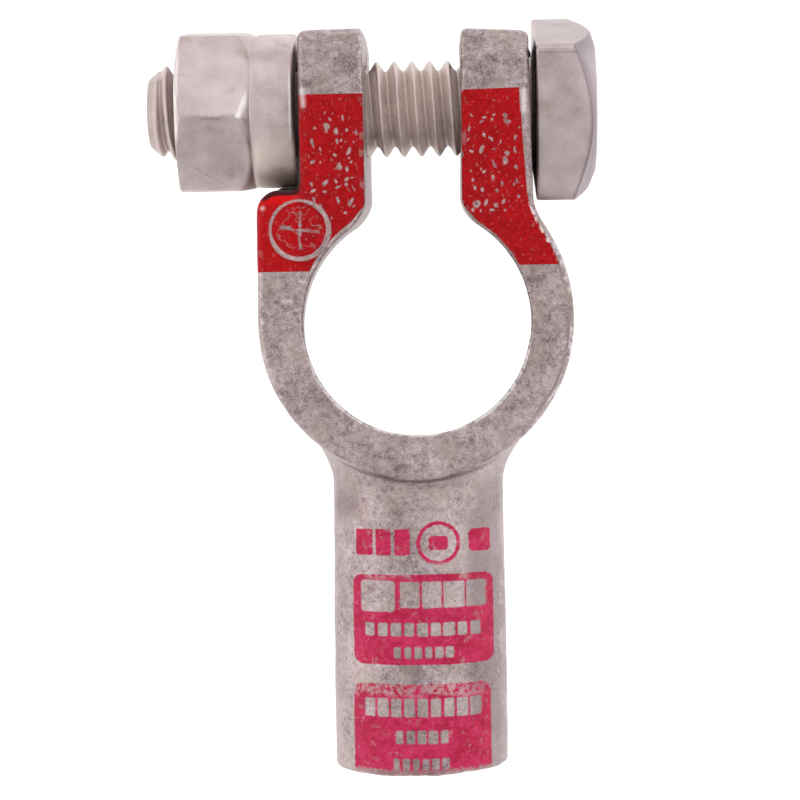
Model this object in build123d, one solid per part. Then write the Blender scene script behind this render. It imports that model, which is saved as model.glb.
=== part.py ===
from build123d import *
import math
import os

# Battery terminal clamp: a cast C-shaped post clamp with a crimp barrel,
# a square-head pinch bolt and a shouldered hexagon nut.
#
# Frame: millimetres. The origin is on the axis of the battery-post bore, in
# the casting's parting plane (mid-thickness). +Z runs along the post axis out
# of the marked face, +Y points from the post to the two ears, +X points to
# the bolt head. The casting lies flat on its plain face at z = -thickness/2.

os.makedirs("parts", exist_ok=True)

# ---------------------------------------------------------------- casting --
thickness = 15.5            # ring and ears, face to face
draft_angle = 1.0           # degrees, both ways from the parting plane
edge_r = 0.50               # rounding along every face edge of the ring

ring_r = 12.42              # outside of the ring, at the parting plane
ring_cx, ring_cy = -0.10, 0.10   # the cored hole sits a little off centre

post_gauge_r = 9.15         # post bore, cylindrical land at mid-thickness
post_land = 3.0             # length of that land
post_taper = 1 / 18         # radius per length, the 1:9 taper of the post
post_corner_r = 1.4         # where the slot runs into the post bore

lug_x = -12.52              # side of the squared lug on the nut side
lug_top = 10.54             # ledge under the nut's collar
lug_r = 1.90                # its outer corner
lug_inner_r = 0.40          # where the ledge meets the ear

ear_l_out, ear_l_in = -9.12, -3.68     # nut-side ear, outer and inner wall
ear_r_in, ear_r_out = 3.42, 9.22       # head-side ear, inner and outer wall
ear_l_top, ear_r_top = 22.97, 22.84
ear_tip_r = 0.74            # outer corners of the ear tips
ear_tip_in_r = 0.55         # their corners on the slot side
shoulder_pt = (9.45, 8.40)  # a point on the sweep from the ring to the ear
shoulder_r_in = 0.60        # rounding where that sweep meets the ear

bolt_y = 17.30              # bolt axis above the post axis
bolt_hole_r = 4.35          # clearance hole through both ears

barrel_r = 6.92             # crimp barrel, outside
barrel_x = -0.24            # its axis, a little off the post axis
barrel_end = -35.50         # open end
cable_r = 5.00              # bore for the bare cable end
cable_depth = 20.50
barrel_edge_r = 0.45        # rounded outer edge of the open end
cable_mouth = 0.40          # chamfer at the mouth

neck_r = 3.2                # sideways sweep of the neck into the ring
neck_start = -11.65         # where it leaves the straight barrel
neck_lift = 0.25            # part of that sweep taken up towards the faces

mark_x, mark_y = -8.96, 7.17           # raised polarity mark on the lug
mark_r, mark_line, mark_h = 2.39, 0.40, 0.20
plus_len, plus_w = 3.10, 0.40

# ------------------------------------------------------------------- bolt --
shank_r = 3.97              # plain shank, 5/16 inch
thread_r = 3.87             # over the thread crests
thread_end = 4.60           # where the thread starts, from the tip side
tip_x = -21.40              # end of the bolt
tip_chamfer = 1.12
head_x0, head_x1 = 9.48, 14.34         # under the head, end of the head
head_af = 12.40             # across flats, square
head_corner_r = 8.53        # its turned-down corners
head_turn = 18.0            # degrees, as it was left when tightened
head_end_r = 5.45           # flat end circle inside the 30 degree chamfer
head_chamfer = 30.0

# -------------------------------------------------------------------- nut --
nut_out, nut_in = -18.85, -9.48        # outer end, face of the collar
nut_af = 12.34              # across flats, hexagon
nut_turn = 10.0             # degrees, one corner is this far below the front
nut_hex_end = -12.86        # where the hexagon gives way to the collar
nut_outer_end_r = 6.05      # flat ring at the outer end
nut_outer_slope = 24.0      # degrees from the end plane
collar_r = 6.17
collar_edge = 0.26
nut_bore_r = 3.95
nut_mouth = 0.45

H = thickness / 2


# ============================================================ clamp_body ===
# Plan outline at the parting plane. It runs round the outside of the ring,
# up the lug and ear of the nut side, down the slot and round the ear of the
# head side. The slot is closed at y = 0 here; the post bore opens it below.
def circle_pt(cx, cy, r, deg):
    a = math.radians(deg)
    return (cx + r * math.cos(a), cy + r * math.sin(a))


shoulder_low = circle_pt(ring_cx, ring_cy, ring_r, 3.0)
ring_bottom = circle_pt(ring_cx, ring_cy, ring_r, 270.0)
ring_left = (ring_cx - ring_r, ring_cy)
a3 = math.radians(3.0)

# the sweep is an arc that leaves the ring tangentially at shoulder_low, runs
# through shoulder_pt and on to the ear's side
dx, dy = shoulder_pt[0] - shoulder_low[0], shoulder_pt[1] - shoulder_low[1]
sweep_r = (dx * dx + dy * dy) / (2 * (-dx * math.cos(a3) - dy * math.sin(a3)))
sweep_x = shoulder_low[0] - sweep_r * math.cos(a3)
sweep_y = shoulder_low[1] - sweep_r * math.sin(a3)
shoulder_x = ear_r_out + 0.08
shoulder_top = (shoulder_x, sweep_y + math.sqrt(sweep_r ** 2 - (shoulder_x - sweep_x) ** 2))

with BuildSketch() as plan:
    with BuildLine():
        Line(ring_left, (lug_x, lug_top))
        Line((lug_x, lug_top), (ear_l_out, lug_top))
        Line((ear_l_out, lug_top), (ear_l_out - 0.05, ear_l_top - 0.10))
        Line((ear_l_out - 0.05, ear_l_top - 0.10), (ear_l_in - 0.14, ear_l_top))
        Line((ear_l_in - 0.14, ear_l_top), (ear_l_in, 0.0))
        Line((ear_l_in, 0.0), (ear_r_in, 0.0))
        Line((ear_r_in, 0.0), (ear_r_in + 0.10, ear_r_top))
        Line((ear_r_in + 0.10, ear_r_top), (ear_r_out - 0.16, ear_r_top - 0.28))
        Line((ear_r_out - 0.16, ear_r_top - 0.28), shoulder_top)
        TangentArc(shoulder_low, shoulder_top, tangent=(-math.sin(a3), math.cos(a3)))
        ThreePointArc(shoulder_low, circle_pt(ring_cx, ring_cy, ring_r, 316.0), ring_bottom)
        ThreePointArc(ring_bottom, circle_pt(ring_cx, ring_cy, ring_r, 225.0), ring_left)
    make_face()


def near(part, x, y, tol=0.9):
    """Upright edges of a half whose middle is near (x, y)."""
    found = [
        e for e in part.edges()
        if abs((e @ 1 - e @ 0).Z) > 0.6 * e.length
        and math.hypot(e.center().X - x, e.center().Y - y) < tol
    ]
    return found


def casting_half(face_side):
    """One half of the casting, built on +Z. face_side is +1 for the marked
    half, whose bore narrows outwards, and -1 for the plain half."""
    with BuildPart() as half:
        add(plan.sketch)
        extrude(amount=H)
        sides = [f for f in half.faces() if abs(f.normal_at().Z) < 0.5]
        draft(sides, Plane.XY, draft_angle)
        top, a = H + 1.0, post_land / 2
        r_end = post_gauge_r - face_side * (top - a) * post_taper
        with BuildSketch(Plane.XZ):
            with BuildLine():
                Polyline(
                    (0, -1), (post_gauge_r, -1), (post_gauge_r, a),
                    (r_end, top), (0, top), close=True,
                )
            make_face()
        revolve(axis=Axis.Z, mode=Mode.SUBTRACT)
        for x, y, r in (
            (lug_x, lug_top, lug_r),
            (ear_l_out, lug_top, lug_inner_r),
            (ear_l_out - 0.05, ear_l_top - 0.10, ear_tip_r),
            (ear_l_in - 0.14, ear_l_top, ear_tip_in_r),
            (ear_r_in + 0.10, ear_r_top, ear_tip_in_r),
            (ear_r_out - 0.16, ear_r_top - 0.28, ear_tip_r),
            (shoulder_top[0], shoulder_top[1], shoulder_r_in),
            (ear_l_in, 8.35, post_corner_r),
            (ear_r_in, 8.45, post_corner_r),
        ):
            es = near(half.part, x, y)
            fillet(es, r)
    return half.part


def rounded(half):
    """The half with its outer face edge rounded all the way round."""
    rim = [e for e in half.edges()
           if abs(e.center().Z - H) < 1e-3 and abs((e @ 0).Z - H) < 1e-3]
    return half.fillet(edge_r, rim)


upper = rounded(casting_half(+1))
lower = rounded(casting_half(-1)).mirror(Plane.XY)

# Crimp barrel with a neck that spreads sideways into the ring. Its inner end
# stops inside the ring's wall, short of the post bore.
barrel_len = -9.0 - barrel_end
with BuildPart() as barrel:
    with Locations(Location((barrel_x, barrel_end, 0), (-90, 0, 0))):
        Cylinder(barrel_r, barrel_len, align=(Align.CENTER, Align.CENTER, Align.MIN))
    rim = [e for e in barrel.edges() if abs(e.center().Y - barrel_end) < 1e-3]
    fillet(rim, barrel_edge_r)
    neck_sections = []
    for k in range(6):
        d = neck_r * math.sin(math.radians(56.0)) * k / 5
        grow = neck_r - math.sqrt(neck_r ** 2 - d ** 2)
        pl = Plane(origin=(barrel_x, neck_start + d, 0), x_dir=(1, 0, 0), z_dir=(0, 1, 0))
        with BuildSketch(pl) as sec:
            Ellipse(barrel_r + grow, barrel_r + neck_lift * grow)
        neck_sections.append(sec.sketch)
    loft(sections=neck_sections)
    Cylinder(10.7, 4 * H, mode=Mode.SUBTRACT)

# Raised polarity mark: a ring round a plain plus.
with BuildPart() as mark:
    with BuildSketch(Plane.XY.offset(H - 0.30)):
        with Locations((mark_x, mark_y)):
            Circle(mark_r)
            Circle(mark_r - mark_line, mode=Mode.SUBTRACT)
            Rectangle(plus_len, plus_w)
            Rectangle(plus_w, plus_len)
    extrude(amount=0.30 + mark_h)

# Blind bore for the cable: chamfered mouth, straight wall, shallow cone.
with BuildPart() as cable_tool:
    with BuildSketch(Plane.XY):
        with BuildLine():
            Polyline(
                (barrel_x, barrel_end - 1.0),
                (barrel_x + cable_r + cable_mouth + 1.0, barrel_end - 1.0),
                (barrel_x + cable_r, barrel_end + cable_mouth),
                (barrel_x + cable_r, barrel_end + cable_depth),
                (barrel_x + 0.6, barrel_end + cable_depth + 1.1),
                (barrel_x, barrel_end + cable_depth + 1.1),
                close=True,
            )
        make_face()
    revolve(axis=Axis((barrel_x, 0, 0), (0, 1, 0)))

with BuildPart() as clamp_body:
    add(upper)
    add(lower)
    add(barrel.part)
    add(mark.part)
    with Locations(Location((0, bolt_y, 0), (0, 90, 0))):
        Cylinder(bolt_hole_r, 24.0, mode=Mode.SUBTRACT)
    add(cable_tool.part, mode=Mode.SUBTRACT)


# ================================================================== bolt ===
def along_x(profile):
    """Solid of revolution about the bolt axis; profile is (x, radius)."""
    with BuildPart() as solid:
        with BuildSketch(Plane.XY):
            with BuildLine():
                Polyline(*[(x, bolt_y + r) for x, r in profile], close=True)
            make_face()
        revolve(axis=Axis((0, bolt_y, 0), (1, 0, 0)))
    return solid.part


def prism(sides, across_flats, x0, x1, turn):
    """Right prism along X with one corner turn degrees from the front."""
    pl = Plane(origin=(x0, bolt_y, 0), x_dir=(0, 0, 1), z_dir=(1, 0, 0))
    with BuildPart() as solid:
        with BuildSketch(pl):
            RegularPolygon(across_flats / 2 / math.cos(math.pi / sides), sides,
                           rotation=turn)
        extrude(amount=x1 - x0)
    return solid.part


tan_h = math.tan(math.radians(head_chamfer))
head_blank = prism(4, head_af, head_x0, head_x1, head_turn - 45.0)
head_form = along_x([
    (head_x0, 0), (head_x0, head_corner_r - 0.35), (head_x0 + 0.15, head_corner_r),
    (head_x1 - (head_corner_r - head_end_r) * tan_h, head_corner_r),
    (head_x1, head_end_r), (head_x1, 0),
])
head = head_blank & head_form
shank = along_x([
    (tip_x, 0), (tip_x, thread_r - tip_chamfer), (tip_x + tip_chamfer, thread_r),
    (thread_end, thread_r), (thread_end + 0.1, shank_r),
    (head_x0 + 0.5, shank_r), (head_x0 + 0.5, 0),
])
clamp_bolt = head + shank

# =================================================================== nut ===
tan_n = math.tan(math.radians(nut_outer_slope))
nut_corner_r = nut_af / 2 / math.cos(math.pi / 6)
hex_blank = prism(6, nut_af, nut_out, nut_hex_end, nut_turn)
hex_form = along_x([
    (nut_out, 0), (nut_out, nut_outer_end_r),
    (nut_out + (nut_corner_r + 0.1 - nut_outer_end_r) * tan_n, nut_corner_r + 0.1),
    (nut_hex_end - (nut_corner_r + 0.1 - collar_r), nut_corner_r + 0.1),
    (nut_hex_end, collar_r), (nut_hex_end, 0),
])
collar = along_x([
    (nut_hex_end - 0.4, 0), (nut_hex_end - 0.4, collar_r), (nut_in, collar_r), (nut_in, 0),
])
rim = [e for e in collar.edges() if abs(e.center().X - nut_in) < 1e-3
       and e.length > 20]
collar = collar.fillet(collar_edge, rim)
nut_hole = along_x([
    (nut_out - 1, 0), (nut_out - 1, nut_bore_r + nut_mouth + 1),
    (nut_out + nut_mouth, nut_bore_r), (nut_in - nut_mouth, nut_bore_r),
    (nut_in + 1, nut_bore_r + nut_mouth + 1), (nut_in + 1, 0),
])
clamp_nut = (hex_blank & hex_form) + collar - nut_hole

for name, shape in (
    ("clamp_body", clamp_body.part), ("clamp_bolt", clamp_bolt), ("clamp_nut", clamp_nut),
):
    solids = shape.solids()
    assert len(solids) == 1, (name, len(solids))
    solid = solids[0]
    b = solid.bounding_box()
    print(name, "valid", solid.is_valid, "faces", len(solid.faces()), "volume", round(solid.volume, 1),
          "box", [round(v, 2) for v in (*b.min, *b.max)])
    export_step(solid, f"parts/{name}.step")
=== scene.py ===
import bpy
import math
import numpy as np
from mathutils import Matrix, Vector


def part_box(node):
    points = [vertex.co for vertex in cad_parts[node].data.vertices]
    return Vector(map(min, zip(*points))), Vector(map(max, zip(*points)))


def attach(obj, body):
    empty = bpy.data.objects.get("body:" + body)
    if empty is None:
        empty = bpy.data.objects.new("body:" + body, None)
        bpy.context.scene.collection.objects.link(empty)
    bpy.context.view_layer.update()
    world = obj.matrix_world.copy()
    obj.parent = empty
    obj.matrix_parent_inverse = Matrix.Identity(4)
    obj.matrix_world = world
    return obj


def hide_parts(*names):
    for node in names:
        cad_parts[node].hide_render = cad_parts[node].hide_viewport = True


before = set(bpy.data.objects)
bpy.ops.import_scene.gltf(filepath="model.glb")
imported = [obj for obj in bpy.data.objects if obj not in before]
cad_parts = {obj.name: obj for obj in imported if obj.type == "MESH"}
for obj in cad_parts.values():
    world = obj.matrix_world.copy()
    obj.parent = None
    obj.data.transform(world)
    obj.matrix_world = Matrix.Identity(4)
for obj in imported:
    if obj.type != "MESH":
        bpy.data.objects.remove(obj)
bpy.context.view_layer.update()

MM = 0.001

# ------------------------------------------------------------- dimensions --
# Millimetres, the same frame and names as the part's source.
H = 7.75
DRAFT = math.tan(math.radians(1.0))
ring_r, ring_cx, ring_cy = 12.42, -0.10, 0.10
post_r, post_taper = 9.25, 0.0620     # bore radius at mid height, widening to the back
post_corner_r = 1.45
lug_x, lug_top, lug_r, lug_inner_r = -12.52, 10.54, 1.95, 0.40
ear_l_out, ear_l_in, ear_r_in, ear_r_out = -9.12, -3.68, 3.42, 9.22
ear_l_top, ear_r_top, ear_tip_r, ear_tip_in_r = 22.97, 22.84, 0.74, 0.42
bolt_y, bolt_hole_r = 17.30, 4.35
barrel_r, barrel_x, barrel_end = 6.84, -0.24, -35.50
cable_r, cable_depth = 5.00, 20.50
mark_x, mark_y, mark_r, mark_line, mark_h = -9.01, 7.23, 2.47, 0.42, 0.20
plus_len, plus_w = 3.20, 0.38

shank_r, thread_r, thread_end, tip_x = 3.97, 3.87, 4.60, -21.40
tip_chamfer = 1.12
head_x0, head_x1, head_af, head_end_r = 9.48, 14.34, 12.40, 5.45
head_shift = -0.11          # the upset head sits a little off the shank axis
head_face_at = 18.0         # degrees from +Y towards +Z to a face's middle
nut_out, nut_in, nut_af, nut_hex_end = -18.85, -9.47, 12.34, -12.86
nut_face_at = 10.0
nut_outer_end_r, nut_outer_slope, collar_r = 6.20, 24.0, 6.17
pitch = 25.4 / 18
thread_depth = 0.86
crest_at = -1.70            # x of a crest on the +Y side of the bolt

# ---------------------------------------------------------------- helpers --


def step(a, b, t):
    """Smooth step from 0 at a to 1 at b."""
    t = np.clip((t - a) / (b - a), 0.0, 1.0)
    return t * t * (3 - 2 * t)


def smin(a, b, k):
    """Smooth minimum; k is the height of the rounded part."""
    h = np.maximum(k - np.abs(a - b), 0.0) / k
    return np.minimum(a, b) - h * h * k * 0.25


def smax(a, b, k):
    return -smin(-a, -b, k)


def join_round(a, b, r):
    """Union of two distance fields with a fillet of radius r."""
    return np.maximum(r, np.minimum(a, b)) - np.hypot(np.maximum(r - a, 0), np.maximum(r - b, 0))


def cut_round(a, b, r):
    """Intersection of two distance fields with an edge rounding of radius r."""
    return np.minimum(-r, np.maximum(a, b)) + np.hypot(np.maximum(r + a, 0), np.maximum(r + b, 0))


def noise(x, y, z, seed):
    """Smooth lattice noise in -1..1 for arrays of coordinates."""
    x, y, z = np.broadcast_arrays(x, y, z)
    out = np.zeros(x.shape)
    fx, fy, fz = np.floor(x), np.floor(y), np.floor(z)
    ix, iy, iz = fx.astype(np.int64), fy.astype(np.int64), fz.astype(np.int64)
    ux, uy, uz = x - fx, y - fy, z - fz
    ux, uy, uz = (u * u * u * (u * (u * 6 - 15) + 10) for u in (ux, uy, uz))
    for dx in (0, 1):
        wx = ux if dx else 1 - ux
        for dy in (0, 1):
            wy = uy if dy else 1 - uy
            for dz in (0, 1):
                wz = uz if dz else 1 - uz
                n = (ix + dx) * 73856093 ^ (iy + dy) * 19349663 ^ (iz + dz) * 83492791 ^ (seed * 2654435761)
                n = (n ^ (n >> 13)) * 1274126177
                n = (n ^ (n >> 16)) & 0xFFFFFF
                out += wx * wy * wz * (n / float(0x7FFFFF) - 1.0)
    return out


def grid_object(name, points, faces, attributes=None):
    """A mesh object from points in mm and an (n, 3 or 4) array of faces."""
    me = bpy.data.meshes.new(name)
    n, m, k = len(points), len(faces), faces.shape[1]
    me.vertices.add(n)
    me.vertices.foreach_set("co", (points * MM).astype(np.float32).ravel())
    me.loops.add(m * k)
    me.loops.foreach_set("vertex_index", faces.astype(np.int32).ravel())
    me.polygons.add(m)
    me.polygons.foreach_set("loop_start", np.arange(0, m * k, k, dtype=np.int32))
    me.polygons.foreach_set("use_smooth", np.ones(m, dtype=bool))
    me.update(calc_edges=True)
    me.validate()
    for key, values in (attributes or {}).items():
        at = me.attributes.new(key, "FLOAT", "POINT")
        at.data.foreach_set("value", np.asarray(values, np.float32))
    ob = bpy.data.objects.new(name, me)
    bpy.context.scene.collection.objects.link(ob)
    return ob


# ---------------------------------------------------------- casting: field --
a3 = math.radians(3.0)
sh_low = (ring_cx + ring_r * math.cos(a3), ring_cy + ring_r * math.sin(a3))
sh_top = (9.45, 8.40)
_dx, _dy = sh_top[0] - sh_low[0], sh_top[1] - sh_low[1]
sh_R = (_dx * _dx + _dy * _dy) / (2 * (-_dx * math.cos(a3) - _dy * math.sin(a3)))
sh_c = (sh_low[0] - sh_R * math.cos(a3), sh_low[1] - sh_R * math.sin(a3))


def plan_fields(X, Y, Z):
    """Distance to the casting's outer walls and to its bore and slot walls."""
    az = np.abs(Z)
    ring = np.hypot(X - ring_cx, Y - ring_cy) - ring_r
    # a run of flash on the lug's ledge, under the nut's collar
    flash = 0.55 * step(3.4, 0.9, az) * step(-11.7, -10.9, X)
    lug = cut_round(lug_x - X, Y - lug_top - flash, lug_r)
    lug = np.maximum(lug, np.maximum(0.1 - Y, X))
    side_l = (ear_l_out - 0.05 * (Y - lug_top) / 12.3) - X
    top_l = Y - (ear_l_top - 0.10 * (ear_l_in - 0.14 - X) / 5.25)
    ear_l = np.maximum(cut_round(side_l, top_l, ear_tip_r), np.maximum(X, 5.0 - Y))
    left = join_round(lug, ear_l, lug_inner_r)
    wall = ear_r_out + 0.08 - 0.24 * (Y - 8.55) / 14.0
    # the wall stands a little proud under the bolt head
    side_r = X - (wall + (9.42 + az * DRAFT - wall) * step(0.2, -2.4, Z) * step(11.4, 13.2, Y))
    top_r = Y - (ear_r_top - 0.28 * (X - 3.66) / 5.37)
    ear_r = np.maximum(cut_round(side_r, top_r, ear_tip_r), np.maximum(-X, 3.0 - Y))
    shoulder = np.hypot(X - sh_c[0], Y - sh_c[1]) - sh_R
    shoulder = np.maximum(shoulder, np.maximum(-X, sh_low[1] - Y))
    right = join_round(ear_r, shoulder, 0.5)
    outer = np.minimum(ring, np.minimum(left, right)) + az * DRAFT
    bore = np.hypot(X, Y) - (post_r - Z * post_taper)
    slot = np.maximum((ear_l_in - 0.13 * Y / 22.97) - X, X - (ear_r_in + 0.10 * Y / 22.84))
    slot = np.maximum(slot, -Y) - az * DRAFT
    inner = -join_round(bore, slot, post_corner_r)
    return outer, inner


def casting_field(X, Y, Z, detail=True):
    outer, inner = plan_fields(X, Y, Z)
    walls = cut_round(outer, inner, ear_tip_in_r + np.where(X > 0, 0.16, -0.10))
    near_in = np.clip((inner - outer) / 1.2 + 0.5, 0, 1)
    rim = 0.66 - 0.27 * near_in + 0.10 * step(20.6, 22.0, Y)
    rim = rim * (1 - 0.42 * step(-7.0, -9.5, Y) * step(8.5, 6.5, np.abs(X)))
    if detail:
        rim = rim * (1 + 0.20 * noise(X / 1.7, Y / 1.7, np.sign(Z) * 3.3, 5))
    body = cut_round(walls, np.abs(Z) - H, rim)

    across = (X - barrel_x)
    tube = np.hypot(across, Z)
    end_at = barrel_end
    if detail:
        ang = np.arctan2(Z, across)
        end_at = barrel_end + 0.06 + 0.15 * step(2.0, 4.6, across) - 0.06 * np.exp(-((across - 1.5) / 0.7) ** 2) \
            + 0.045 * noise(ang * 4.2, ang * 0.0, tube / 1.5, 11) + 0.04 * noise(ang * 13.0, ang * 0.0, tube / 0.8, 12)
    swell = barrel_r + 0.10 * step(-15.0, -24.0, Y)
    barrel = cut_round(tube - swell, end_at - Y, 0.45)
    barrel = np.maximum(barrel, np.maximum(10.7 - np.hypot(X, Y), Y + 6.0))
    neck = 1.35 + 0.70 * step(0.45, 0.95, np.abs(across) / barrel_r)
    f = join_round(body, barrel, neck)

    # the raised ring and plus on the lug
    mx, my = X - mark_x, Y - mark_y
    if detail:
        mx = mx + 0.05 * noise(X / 1.1, Y / 1.1, 0.5, 24)
        my = my + 0.05 * noise(X / 1.1, Y / 1.1, 0.5, 25)
    ring_m = np.abs(np.hypot(mx, my) - (mark_r - mark_line / 2)) - mark_line / 2
    pa = np.maximum(np.abs(mx) - plus_len / 2, np.abs(my + 0.13 * mx) - plus_w / 2)
    pb = np.maximum(np.abs(my) - plus_len / 2 + 0.15, np.abs(mx) - plus_w / 2)
    plus = np.minimum(pa, pb)
    if detail:
        ring_m = ring_m + 0.06 * noise(X / 0.6, Y / 0.6, 0.5, 21)
        plus = plus + 0.10 + 0.13 * noise(X / 0.5, Y / 0.5, 0.5, 22)
    top = H + mark_h - 0.02
    if detail:
        top = top - 0.05 - 0.05 * noise(X / 0.8, Y / 0.8, 0.5, 23)
    m = cut_round(np.minimum(ring_m, plus), Z - top, 0.13)
    m = np.maximum(m, H - 0.6 - Z)
    f = join_round(f, m, 0.10)

    hole = np.hypot(Y - bolt_y, Z) - bolt_hole_r
    f = cut_round(f, -hole, 0.25)
    cable = cut_round(tube - cable_r, Y - (barrel_end + cable_depth + 0.25 * (cable_r - tube)), 0.2)
    f = cut_round(f, -cable, 0.32)
    if detail:
        # the skin of the casting: shallow hollows and a fine grain
        f = f + 0.030 + 0.026 * noise(X / 2.6, Y / 2.6, Z / 2.6, 1) + 0.016 * noise(X / 1.1, Y / 1.1, Z / 1.1, 2) \
            + 0.009 * noise(X / 0.55, Y / 0.55, Z / 0.55, 3)
    return f


# ------------------------------------------------------- casting: surface --
def net(xs, ys, zs, F):
    """Quads around a sampled field's zero surface, one vertex a cell."""
    nx, ny, nz = F.shape
    cy, cz = ny - 1, nz - 1
    n_cells = (nx - 1) * cy * cz
    ins = F < 0
    total = np.zeros((3, n_cells))
    count = np.zeros(n_cells)
    quads = []
    axes = (xs, ys, zs)
    for a in range(3):
        lo = [slice(None)] * 3
        hi = [slice(None)] * 3
        lo[a], hi[a] = slice(0, -1), slice(1, None)
        i, j, k = np.nonzero(ins[tuple(lo)] != ins[tuple(hi)])
        idx = [i, j, k]
        nxt = [i.copy(), j.copy(), k.copy()]
        nxt[a] = nxt[a] + 1
        f0, f1 = F[i, j, k], F[nxt[0], nxt[1], nxt[2]]
        t = f0 / (f0 - f1)
        pos = [axes[b][idx[b]] for b in range(3)]
        pos[a] = pos[a] + t * (axes[a][nxt[a]] - pos[a])
        b, c = (a + 1) % 3, (a + 2) % 3
        corners = []
        for db, dc in ((-1, -1), (0, -1), (0, 0), (-1, 0)):
            q = [idx[0], idx[1], idx[2]]
            q[b] = idx[b] + db
            q[c] = idx[c] + dc
            cell = (q[0] * cy + q[1]) * cz + q[2]
            corners.append(cell)
            count += np.bincount(cell, minlength=n_cells)
            for d in range(3):
                total[d] += np.bincount(cell, weights=pos[d], minlength=n_cells)
        quad = np.stack(corners, 1)
        flip = ~ins[i, j, k]
        quad[flip] = quad[flip][:, ::-1]
        quads.append(quad)
    used = np.nonzero(count)[0]
    index = np.full(n_cells, -1)
    index[used] = np.arange(len(used))
    points = (total[:, used] / count[used]).T
    return points, index[np.concatenate(quads)]


def spaced(*parts):
    """Sorted grid lines from (start, end, spacing) ranges that follow on."""
    out = []
    for a, b, h in parts:
        n = max(1, int(round((b - a) / h)))
        out.extend(a + (b - a) * np.arange(n) / n)
    out.append(parts[-1][1])
    return np.array(out)


def build_casting():
    xs = spaced((-12.9, -11.4, 0.21), (-11.4, -6.5, 0.115), (-6.5, 12.6, 0.214))
    ys = spaced((-35.9, -34.4, 0.17), (-34.4, -13.2, 0.33), (-13.2, 4.6, 0.214), (4.6, 9.6, 0.118), (9.6, 23.4, 0.214))
    zs = spaced((-8.1, -6.6, 0.15), (-6.6, 6.6, 0.57), (6.6, 7.2, 0.15), (7.2, 8.2, 0.10))
    F = np.empty((len(xs), len(ys), len(zs)))
    for s in range(0, len(xs), 16):
        e = min(s + 16, len(xs))
        X, Y, Z = np.meshgrid(xs[s:e], ys, zs, indexing="ij")
        F[s:e] = casting_field(X, Y, Z, detail=False)
    P, quads = net(xs, ys, zs, F)
    h = 0.03
    lap = None
    for turn in range(4):
        X, Y, Z = P.T
        f = casting_field(X, Y, Z)
        sides = []
        for a in range(3):
            d = np.zeros(3)
            d[a] = h
            sides.append((casting_field(X + d[0], Y + d[1], Z + d[2]), casting_field(X - d[0], Y - d[1], Z - d[2])))
        g = np.stack([(p - q) / (2 * h) for p, q in sides], 1)
        if turn == 3:
            w = 0.10
            lap = -6 * casting_field(X, Y, Z, detail=False)
            for a in range(3):
                d = np.zeros(3)
                d[a] = w
                lap += casting_field(X + d[0], Y + d[1], Z + d[2], detail=False)
                lap += casting_field(X - d[0], Y - d[1], Z - d[2], detail=False)
            lap = lap / (w * w)
            break
        g2 = np.maximum((g * g).sum(1), 0.2)
        move = g * (f / g2)[:, None]
        size = np.linalg.norm(move, axis=1)
        move *= np.minimum(1, 0.12 / np.maximum(size, 1e-9))[:, None]
        P = P - move
    N = g / np.linalg.norm(g, axis=1)[:, None]
    lo, hi = (np.array(v) * 1000 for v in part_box("clamp_body"))
    P = np.clip(P, lo + 0.002, hi - 0.002)

    # fields that the finish reads: how deep a point lies inside the flat
    # face, which way the nearest wall looks, and how sharp the edge is
    X, Y, Z = P.T
    outer, inner = plan_fields(X, Y, Z)
    depth = -np.maximum(outer, inner)
    e = 0.05
    ox, ix = plan_fields(X + e, Y, Z)
    wall_x = (np.where(outer > inner, ox, ix) - np.maximum(outer, inner)) / e
    oy, iy = plan_fields(X, Y + e, Z)
    wall_y = (np.where(outer > inner, oy, iy) - np.maximum(outer, inner)) / e
    is_in = step(-0.5, 0.5, inner - outer)
    attributes = {
        "depth": np.clip(depth, -1, 3),
        "wall_x": np.clip(wall_x, -1, 1),
        "wall_y": np.clip(wall_y, -1, 1),
        "inner": is_in,
        "front": N[:, 2],
        "edge": np.clip(lap * 0.5, -3, 3),
    }
    return grid_object("casting_skin", P, quads, attributes)


# ----------------------------------------------------- turned hardware ------
def lathe(name, rows, closed, attributes=None):
    """Rings of (x, r, theta) arrays about the bolt axis, joined row by row.
    An open list is left open at its ends."""
    n_t = len(rows[0][0])
    th = rows[0][2]
    X = np.array([r[0] for r in rows])
    R = np.array([r[1] for r in rows])
    P = np.stack([X, bolt_y + R * np.cos(th), R * np.sin(th)], -1).reshape(-1, 3)
    m = len(rows)
    idx = np.arange(m * n_t).reshape(m, n_t)
    nxt = np.roll(idx, -1, 1)
    a, b = (idx, np.roll(idx, -1, 0)) if closed else (idx[:-1], idx[1:])
    an, bn = (nxt, np.roll(nxt, -1, 0)) if closed else (nxt[:-1], nxt[1:])
    quads = np.stack([a, an, bn, b], -1).reshape(-1, 4)
    return P, quads, idx


def polygon_radius(th, sides, apothem, face_at, corner):
    """Polar radius of a regular polygon with rounded corners."""
    half = math.pi / sides
    t = np.mod(th - math.radians(face_at) + half, 2 * half) - half
    t = np.abs(t)
    flat = apothem / np.cos(t)
    # corner circle
    c_r = (apothem - corner) / math.cos(half)
    cx, cy = c_r * math.cos(half), c_r * math.sin(half)
    along = cx * np.cos(t) + cy * np.sin(t)
    off2 = cx * cx + cy * cy - along * along
    arc = along + np.sqrt(np.maximum(corner * corner - off2, 0.0))
    return np.where(apothem * np.tan(t) > cy, arc, flat)


def thread_radius(x, th, crest, depth, k_crest=0.28, k_root=0.36):
    """Radius of a right-hand 60 degree thread at x and angle th."""
    s = (x - crest_at) / pitch - th / (2 * math.pi)
    s = np.abs(s - np.round(s)) * pitch
    flank = crest - (s - 0.09) / math.tan(math.radians(30))
    r = smin(np.full_like(flank, crest), flank, k_crest)
    return smax(r, np.full_like(r, crest - depth), k_root)


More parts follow.
